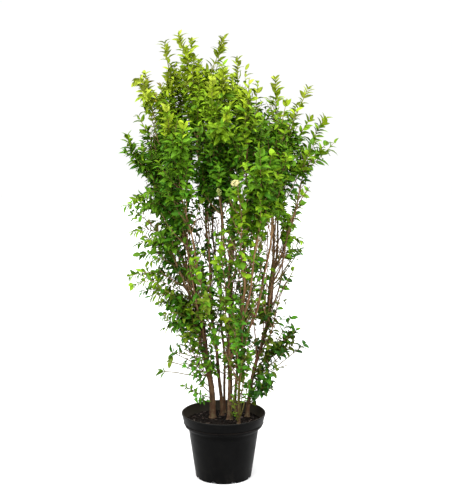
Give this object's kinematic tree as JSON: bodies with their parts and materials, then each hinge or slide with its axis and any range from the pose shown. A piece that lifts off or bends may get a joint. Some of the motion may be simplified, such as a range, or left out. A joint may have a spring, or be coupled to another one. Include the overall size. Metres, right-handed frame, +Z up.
{
  "type": "potted privet shrub",
  "caption": "Upright privet shrub of several slender stems with fine green foliage and a little cream blossom, growing in a round black nursery pot of compost.",
  "frame": {"origin": "middle of the pot's flat underside", "axes": "+Z up, +X to the right-hand side of the plant as seen from the front, +Y towards its back"},
  "size_m": [0.7014, 0.6215, 1.4723],
  "materials": {
    "bark": "rough grey-brown bark",
    "young_bark": "thin olive-brown bark",
    "leaf_bright": "young leaves, satin",
    "leaf_green": "grown leaves, satin",
    "leaf_dark": "old leaves, satin",
    "pot_plastic": "moulded black plastic, satin",
    "compost": "moist peat compost, matt"
  },
  "bodies": {
    "root": {"bough_back_crown": "young_bark", "bough_back_far_left": "young_bark", "bough_back_right": "young_bark", "bough_centre_back": "young_bark", "bough_centre_right": "young_bark", "bough_crown_left": "young_bark", "bough_far_left": "young_bark", "bough_far_right": "young_bark", "bough_front_crown": "young_bark", "bough_front_left": "young_bark", "bough_front_right": "young_bark", "bough_outer_right": "young_bark", "foliage_back": "leaf_bright", "foliage_back_crown": "leaf_green", "foliage_back_far_left": "leaf_green", "foliage_back_left": "leaf_bright", "foliage_back_right": "leaf_green", "foliage_centre": "leaf_bright", "foliage_centre_back": "leaf_bright", "foliage_centre_right": "leaf_bright", "foliage_crown_left": "leaf_bright", "foliage_far_left": "leaf_green", "foliage_far_right": "leaf_green", "foliage_foot_left": "leaf_dark", "foliage_foot_right": "leaf_dark", "foliage_front": "leaf_bright", "foliage_front_centre": "leaf_green", "foliage_front_crown": "leaf_bright", "foliage_front_left": "leaf_bright", "foliage_front_right": "leaf_green", "foliage_inner_left": "leaf_bright", "foliage_left": "leaf_bright", "foliage_low_back": "leaf_dark", "foliage_low_front": "leaf_dark", "foliage_low_left": "leaf_dark", "foliage_low_right": "leaf_dark", "foliage_low_right_crown": "leaf_green", "foliage_middle_back": "leaf_green", "foliage_middle_front": "leaf_green", "foliage_middle_left": "leaf_green", "foliage_middle_right": "leaf_green", "foliage_outer_right": "leaf_bright", "foliage_right": "leaf_bright", "foliage_slender": "leaf_bright", "foliage_upper_left": "leaf_bright", "foliage_upper_right": "leaf_bright", "foliage_waist_back": "leaf_green", "foliage_waist_front": "leaf_green", "foliage_waist_left": "leaf_dark", "foliage_waist_right": "leaf_dark", "pot": "pot_plastic", "soil": "compost", "stem_back": "bark", "stem_back_left": "bark", "stem_centre": "bark", "stem_front": "bark", "stem_inner_left": "bark", "stem_left": "bark", "stem_right": "bark", "stem_slender": "bark"}
  },
  "joints": []
}
